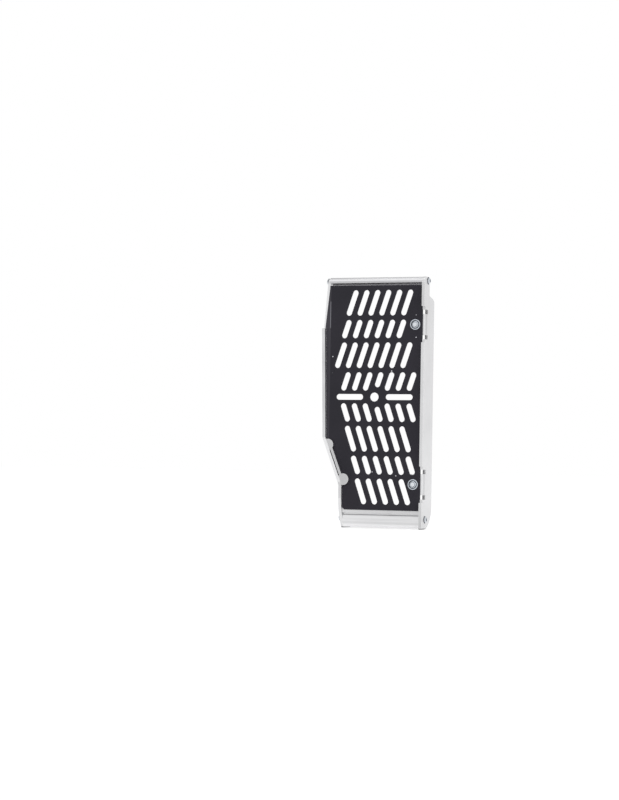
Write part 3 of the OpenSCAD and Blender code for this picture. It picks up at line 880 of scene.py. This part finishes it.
@dataclass
class ButtonHeadScrew:
    """Button-head screw with a hexagon socket and a rolled thread.

    The thread is its diameter and the key the hexagon's width across flats. Ratios, the countersink and the
    thread's depth are shares of the thread, the rim of painted shade and the collar shares of the head's
    radius, the socket's floor a share of the head's height and its rim a share of the key. A collar of 1
    means none: below 1, it is where the dome ends and the groove begins.
    """

    thread: float
    key: float
    pitch: float
    face: Finish = STEEL
    shade_rim: float = 1.0
    head_ratio: float = 0.55
    shown_ratio: float = 0.55
    collar: float = 1.0
    collar_height: float = 0.9 * MM
    collar_groove: float = 0.5 * MM
    socket_floor: float = 0.4
    socket_rim: float = 0.68
    countersink: float = 0.08
    thread_depth: float = 0.055
    arc_steps: int = 12
    facets: int = 48
    edge: float = 0.12 * MM
    thread_margin: float = 0.3 * MM

    @staticmethod
    def dome(radius: float, rise: float) -> float:
        """Radius of the sphere of a dome with the given base radius and rise."""
        return (radius ** 2 + rise ** 2) / (2 * rise)

    def cad_top(self, head: float) -> float:
        """Height of the CAD head's highest points, on the rim of its socket.

        Args:
            head: Diameter of the head.

        Returns:
            The height over the underside of the head.
        """
        height = self.thread * self.head_ratio
        dome = self.dome(head / 2, height)
        return height - dome + math.sqrt(dome ** 2 - self.key ** 2 / 4)

    def profile(self, length: float, head: float) -> list[tuple[float, float]]:
        """Half section from the tip to the rim of the socket.

        Args:
            length: Length under the head.
            head: Diameter of the head.

        Returns:
            Radius and height of each point.
        """
        core = self.thread / 2 * (1 - 2 * self.thread_depth)
        crest = self.thread / 2
        points = [(0.0, -length), (core, -length), (core, -length + self.pitch / 2)]
        turns = int((length - self.thread_margin) / self.pitch) - 1
        for turn in range(turns):
            low = -length + (turn + 1) * self.pitch
            points += [(crest, low), (core, low + self.pitch / 2)]
        radius, base = head / 2, self.edge
        points += [(crest, -self.thread_margin), (crest, 0.0), (radius - self.edge, 0.0), (radius, self.edge)]
        if self.collar < 1:
            base = self.collar_height
            points += [(radius, base - self.edge), (radius - self.edge, base),
                       (radius * self.collar + self.collar_groove, base),
                       (radius * self.collar + self.collar_groove, base - self.collar_groove),
                       (radius * self.collar, base - self.collar_groove), (radius * self.collar, base)]
            radius *= self.collar
        height = self.thread * self.shown_ratio
        dome = self.dome(radius, height - base)
        lowest = math.asin(radius / dome)
        inner = math.asin(self.key * self.socket_rim / dome)
        for step in range(1, self.arc_steps + 1):
            angle = lowest + (inner - lowest) * step / self.arc_steps
            points.append((dome * math.sin(angle), height - dome + dome * math.cos(angle)))
        return points

    def is_painted_shade(self, middle: Vector, head: float) -> bool:
        """Tells whether a face of the head lies in its rim or in the groove of its collar, where shade is
        painted.

        Args:
            middle: Middle of the face.
            head: Diameter of the head.

        Returns:
            True where the second finish goes.
        """
        radius = middle.xy.length
        step = self.collar * head / 2
        in_groove = self.collar < 1 and step - self.edge < radius < step + self.collar_groove + self.edge
        return middle.z > 0 and (radius > self.shade_rim * head / 2 or in_groove)

    def mesh(self, length: float, head: float) -> bmesh.types.BMesh:
        """Builds one screw that stands on the origin with its head up.

        Args:
            length: Length under the head.
            head: Diameter of the head.

        Returns:
            The closed mesh. Rims and collar grooves have the second finish, painted shade, the socket's walls
            the third, painted shade, and its floor the fourth, a painted sheen.
        """
        points = self.profile(length, head)
        shape = bmesh.new()
        verts = [shape.verts.new((radius, 0.0, z)) for radius, z in points]
        edges = [shape.edges.new(pair) for pair in zip(verts, verts[1:])]
        bmesh.ops.spin(shape, geom=verts + edges, cent=(0, 0, 0), axis=(0, 0, 1),
                       angle=math.tau, steps=self.facets, use_merge=True)
        bmesh.ops.remove_doubles(shape, verts=shape.verts, dist=TURNED_MERGE)
        # Painted shade on the rims and in the collar's groove
        for face in shape.faces:
            face.material_index = int(self.is_painted_shade(face.calc_center_median(), head))
        rim = [e for e in shape.edges if e.is_boundary]
        height = self.thread * self.shown_ratio
        socket_z = points[-1][1] - self.countersink * self.thread
        floor_z = height * self.socket_floor
        socket = bmesh.ops.create_circle(shape, segments=6, radius=self.key / 2 / math.cos(math.radians(30)),
                                         matrix=Matrix.Translation((0, 0, socket_z)))
        hexagon = {e for v in socket["verts"] for e in v.link_edges}
        walls = bmesh.ops.bridge_loops(shape, edges=rim + list(hexagon))["faces"]
        wall = bmesh.ops.extrude_edge_only(shape, edges=list(hexagon))
        floor = [v for v in wall["geom"] if isinstance(v, bmesh.types.BMVert)]
        walls += [f for f in wall["geom"] if isinstance(f, bmesh.types.BMFace)]
        # Painted shade on the socket's walls
        for face in walls:
            face.material_index = 2
        bmesh.ops.translate(shape, verts=floor, vec=(0, 0, floor_z - socket_z))
        floor_edges = [e for e in wall["geom"] if isinstance(e, bmesh.types.BMEdge)
                       and all(v in floor for v in e.verts)]
        # The socket's floor gets a painted sheen
        for face in bmesh.ops.contextual_create(shape, geom=floor_edges)["faces"]:
            face.material_index = 3
        bmesh.ops.recalc_face_normals(shape, faces=shape.faces)
        return shape

    def place(self, parts: Parts, spot: FastenerSpot, facing: Facing,
              name: str, node: str) -> bpy.types.Object:
        """Builds one screw in the box of its CAD solid.

        Args:
            parts: The CAD nodes and materials.
            spot: The box of the CAD solid.
            facing: Direction of the head.
            name: Name of the piece.
            node: CAD node that the screw belongs to.

        Returns:
            The new object.
        """
        size = spot.high - spot.low
        axis = facing.value
        along = abs(size.dot(axis))
        top = self.cad_top(size.z)
        shape = self.mesh(along - top, size.z)
        seat = spot.middle + axis * (along / 2 - top)
        turn = axis.to_track_quat("Z", "Y").to_matrix().to_4x4()
        bmesh.ops.transform(shape, matrix=Matrix.Translation(seat) @ turn, verts=shape.verts)
        return parts.finish_piece(shape, name, [self.face, RECESS_SHADE, SOCKET_SHADE, PALE_STEEL_AND_SHEEN], node)


M6 = ButtonHeadScrew(thread=6 * MM, key=4 * MM, pitch=1.0 * MM, shown_ratio=0.42, collar=0.68,
                     collar_groove=0.7 * MM, socket_floor=0.55)
M4 = ButtonHeadScrew(thread=4 * MM, key=2.5 * MM, pitch=0.7 * MM, face=PALE_STEEL_AND_SHEEN, shade_rim=0.9)
M4_INNER = replace(M4, shade_rim=1.0)
M3 = ButtonHeadScrew(thread=3 * MM, key=1.875 * MM, pitch=0.5 * MM)


@dataclass
class Screws:
    """All button-head screws of the guard."""

    grille_names: tuple[str, str] = ("grille_screw_upper", "grille_screw_lower")
    retainer_names: tuple[str, str] = ("retainer_screw_upper", "retainer_screw_lower")
    crossbar_names: tuple[str, ...] = (
        "crossbar_screw_top_inner", "crossbar_screw_top_outer",
        "crossbar_screw_bottom_inner", "crossbar_screw_bottom_outer")

    def build(self, parts: Parts) -> list[bpy.types.Object]:
        """Builds each screw in the place of its CAD solid.

        Args:
            parts: The CAD nodes and materials.

        Returns:
            The screws of the grille, the retainer and the crossbars.
        """
        made = []
        for name, spot in zip(self.grille_names, fastener_spots(parts.nodes["grille_screws"])):
            made.append(M6.place(parts, spot, Facing.FRONT, name, "grille_screws"))
        for name, spot in zip(self.retainer_names, fastener_spots(parts.nodes["retainer_screws"])):
            made.append(M3.place(parts, spot, Facing.BACK, name, "retainer_screws"))
        for name, spot in zip(self.crossbar_names, fastener_spots(parts.nodes["crossbar_screws"])):
            screw, facing = (M4_INNER, Facing.INNER) if name.endswith("inner") else (M4, Facing.OUTER)
            made.append(screw.place(parts, spot, facing, name, "crossbar_screws"))
        return made


@dataclass
class PressedNuts:
    """Pressed nuts behind the folded tabs, with a chamfered flange and a bore.

    The thread is the screw's diameter in the bore, the wall that of the collar in the tab.
    """

    thread: float = 6 * MM
    wall: float = 1.4 * MM
    bore_gap: float = 0.05 * MM
    nut_height: float = 4.1 * MM
    chamfer: float = 0.4 * MM
    facets: int = 48
    names: tuple[str, str] = ("tab_nut_upper", "tab_nut_lower")

    def mesh(self, flange: float, total: float) -> bmesh.types.BMesh:
        """Builds one nut that stands on the origin, its collar pointing down.

        Args:
            flange: Radius of the flange.
            total: Height from the collar's end to the flange's top.

        Returns:
            The closed ring.
        """
        bore = self.thread / 2 + self.bore_gap
        collar = self.thread / 2 + self.wall - self.bore_gap
        low = self.nut_height - total
        ring = [(bore + self.chamfer, self.nut_height), (flange - self.chamfer, self.nut_height),
                (flange, self.nut_height - self.chamfer), (flange, 0.0), (collar, 0.0), (collar, low),
                (bore, low), (bore, self.nut_height - self.chamfer)]
        shape = bmesh.new()
        verts = [shape.verts.new((radius, 0.0, z)) for radius, z in ring]
        edges = [shape.edges.new(pair) for pair in zip(verts, verts[1:] + verts[:1])]
        bmesh.ops.spin(shape, geom=verts + edges, cent=(0, 0, 0), axis=(0, 0, 1),
                       angle=math.tau, steps=self.facets, use_merge=True)
        bmesh.ops.remove_doubles(shape, verts=shape.verts, dist=TURNED_MERGE)
        bmesh.ops.recalc_face_normals(shape, faces=shape.faces)
        return shape

    def build(self, parts: Parts) -> list[bpy.types.Object]:
        """Builds both nuts in the place of their CAD solids.

        Args:
            parts: The CAD nodes and materials.

        Returns:
            The upper and the lower nut.
        """
        made = []
        for name, spot in zip(self.names, fastener_spots(parts.nodes["tab_nuts"])):
            size = spot.high - spot.low
            shape = self.mesh(size.z / 2, size.y)
            seat = Vector((spot.middle.x, spot.high.y - self.nut_height, spot.middle.z))
            turn = Facing.BACK.value.to_track_quat("Z", "Y").to_matrix().to_4x4()
            bmesh.ops.transform(shape, matrix=Matrix.Translation(seat) @ turn, verts=shape.verts)
            made.append(parts.finish_piece(shape, name, [STEEL], "tab_nuts"))
        return made


@dataclass
class Guard:
    """The guard's sheets, plates and bars."""

    pieces: list[SheetMetalPiece] = field(default_factory=lambda: [
        FoldedGrille("front_grille", "slotted_grille_sheet", Slot.BLACK, ANODISED, RIM_HIGHLIGHT),
        SidePlate("outer_side_plate", "outer_plate_with_tabs", Slot.BARE, PLATE, EDGE_AND_HIGHLIGHT),
        SidePlate("inner_side_plate", "inner_plate_with_lug", Slot.BARE, PLATE, EDGE_AND_HIGHLIGHT,
                  extra=(INNER_SIDE_SHADE_AND_HIGHLIGHT,), highlight_above=200.5 * MM),
        EaredStrip("panel_retainer", "eared_retainer", Slot.BARE, RETAINER, EDGE_AND_HIGHLIGHT),
        LippedTopBar("top_crossbar", "round_nosed_top_bar", Slot.BARE, SHADED_EXTRUDED_WITH_HIGHLIGHT, EDGE_AND_HIGHLIGHT),
        LippedBottomBar("bottom_crossbar", "lipped_bottom_bar", Slot.BARE, EXTRUDED, EDGE_AND_HIGHLIGHT),
    ])

    def build(self, parts: Parts) -> list[bpy.types.Object]:
        """Builds every piece of sheet, plate and bar."""
        return [piece.build(parts) for piece in self.pieces]


@dataclass
class Studio:
    """Floor, white surroundings and soft lamps.

    The ambient level is the strength of the surroundings as a light, the dimmest that of their dim side in
    reflections, and the floor's lift what it gains where the camera or a reflection sees it. Each lamp has a
    name, a place, a size and a power.
    """

    floor_size: float = 60.0
    floor_grey: float = 0.82
    floor_roughness: float = 0.6
    ambient: float = 0.72
    dimmest: float = 0.74
    dim_from_to: tuple[float, float] = (-0.7, 0.5)
    floor_lift: float = 0.42
    lamps: tuple[tuple[str, tuple[float, float, float], float, float], ...] = (
        ("overhead_softbox", (0.2, -0.4, 1.6), 1.4, 4.0),
        ("outer_side_softbox", (1.5, -1.0, 0.6), 1.2, 2.5),
        ("front_fill", (-0.9, -1.6, 0.5), 1.2, 1.5),
    )

    def world(self) -> None:
        """Makes the world: white to the camera, softer as a light, dimmer to the left in reflections."""
        world = bpy.data.worlds.new("white_surroundings")
        world.use_nodes = True
        bpy.context.scene.world = world
        tree = world.node_tree
        tree.nodes.clear()
        sheet = NodeSheet(tree)
        rays = sheet.add("ShaderNodeLightPath")
        axes = sheet.add("ShaderNodeSeparateXYZ")
        sheet.link(sheet.add("ShaderNodeTexCoord").outputs["Generated"], axes.inputs["Vector"])
        mirrored = sheet.ramp(axes.outputs["X"], *self.dim_from_to, self.dimmest, 1.0)
        plain = sheet.plus(rays.outputs["Is Camera Ray"], rays.outputs["Is Transmission Ray"])
        lit = sheet.ramp(plain, 0.0, 1.0, self.ambient, 1.0)
        strength = sheet.mix(rays.outputs["Is Glossy Ray"], lit, mirrored)
        background = sheet.add("ShaderNodeBackground")
        sheet.link(strength, background.inputs["Strength"])
        out = sheet.add("ShaderNodeOutputWorld")
        sheet.link(background.outputs["Background"], out.inputs["Surface"])
        background.inputs["Color"].default_value = (1.0, 1.0, 1.0, 1.0)

    def floor(self) -> bpy.types.Object:
        """Makes the white floor that keeps the guard's soft shadow.

        Returns:
            The floor, staged as no part of the guard.
        """
        mesh = bpy.data.meshes.new("studio_floor")
        shape = bmesh.new()
        bmesh.ops.create_grid(shape, x_segments=1, y_segments=1, size=self.floor_size / 2)
        shape.to_mesh(mesh)
        shape.free()
        floor = bpy.data.objects.new("studio_floor", mesh)
        bpy.context.scene.collection.objects.link(floor)
        material = bpy.data.materials.new("white_table")
        material.use_nodes = True
        sheet = NodeSheet(material.node_tree)
        shader = material.node_tree.nodes["Principled BSDF"]
        shader.inputs["Base Color"].default_value = (*[self.floor_grey] * 3, 1.0)
        shader.inputs["Roughness"].default_value = self.floor_roughness
        shader.inputs["Specular IOR Level"].default_value = 0.0
        glow = sheet.add("ShaderNodeEmission")
        rays = sheet.add("ShaderNodeLightPath")
        seen = sheet.plus(rays.outputs["Is Camera Ray"], rays.outputs["Is Glossy Ray"])
        seen = sheet.plus(seen, rays.outputs["Is Transmission Ray"])
        sheet.link(sheet.times(seen, self.floor_lift), glow.inputs["Strength"])
        both = sheet.add("ShaderNodeAddShader")
        sheet.link(shader.outputs["BSDF"], both.inputs[0])
        sheet.link(glow.outputs["Emission"], both.inputs[1])
        sheet.link(both.outputs["Shader"], material.node_tree.nodes["Material Output"].inputs["Surface"])
        mesh.materials.append(material)
        floor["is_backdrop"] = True
        return floor

    def light(self, target: Vector) -> None:
        """Hangs the soft lamps and turns them to the guard.

        Args:
            target: Middle of the guard.
        """
        for name, place, size, power in self.lamps:
            lamp = bpy.data.lights.new(name, "AREA")
            lamp.shape, lamp.size, lamp.energy = "SQUARE", size, power
            holder = bpy.data.objects.new(name, lamp)
            holder.location = place
            holder.rotation_mode = "QUATERNION"
            holder.rotation_quaternion = (target - Vector(place)).to_track_quat("-Z", "Y")
            bpy.context.scene.collection.objects.link(holder)

    def build(self, target: Vector) -> None:
        """Sets up the world, the floor and the lamps.

        Args:
            target: Middle of the guard.
        """
        self.world()
        self.floor()
        self.light(target)


@dataclass
class PhotoCamera:
    """Camera at the photograph's viewing angle.

    Its turns are in degrees, its focal length and frame height in pixels of the photograph, and its sensor in
    millimetres.
    """

    place: tuple[float, float, float] = (0.7124, -2.1472, 0.059)
    yaw: float = 20.08
    pitch: float = 1.735
    roll: float = 0.98
    focal_pixels: float = 2250.0
    frame_height: float = 800.0
    sensor: float = 36.0
    clip: tuple[float, float] = (0.05, 200.0)

    def build(self) -> bpy.types.Object:
        """Makes the camera and sets it on the scene.

        Returns:
            The camera's object.
        """
        camera = bpy.data.cameras.new("photo_camera")
        camera.sensor_width = self.sensor
        camera.lens = self.sensor * self.focal_pixels / self.frame_height
        camera.clip_start, camera.clip_end = self.clip
        holder = bpy.data.objects.new("photo_camera", camera)
        turn = (Matrix.Rotation(math.radians(self.yaw), 4, "Z")
                @ Matrix.Rotation(math.radians(90 + self.pitch), 4, "X")
                @ Matrix.Rotation(math.radians(self.roll), 4, "Z"))
        holder.matrix_world = Matrix.Translation(self.place) @ turn
        bpy.context.scene.collection.objects.link(holder)
        bpy.context.scene.camera = holder
        return holder


def main() -> None:
    """Builds the dressed guard and its studio."""
    logging.basicConfig(level=logging.INFO, format="%(name)s: %(message)s")
    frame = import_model()
    cad_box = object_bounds()
    bpy.context.scene.view_settings.view_transform = "Standard"
    groups = FinishGroups()
    parts = Parts(frame["nodes"], {finish.name: finish.build(groups) for finish in FINISHES})
    Guard().build(parts)
    Screws().build(parts)
    PressedNuts().build(parts)
    low, high = cad_box
    Studio().build((low + high) / 2)
    PhotoCamera().build()


if __name__ == "__main__":
    main()
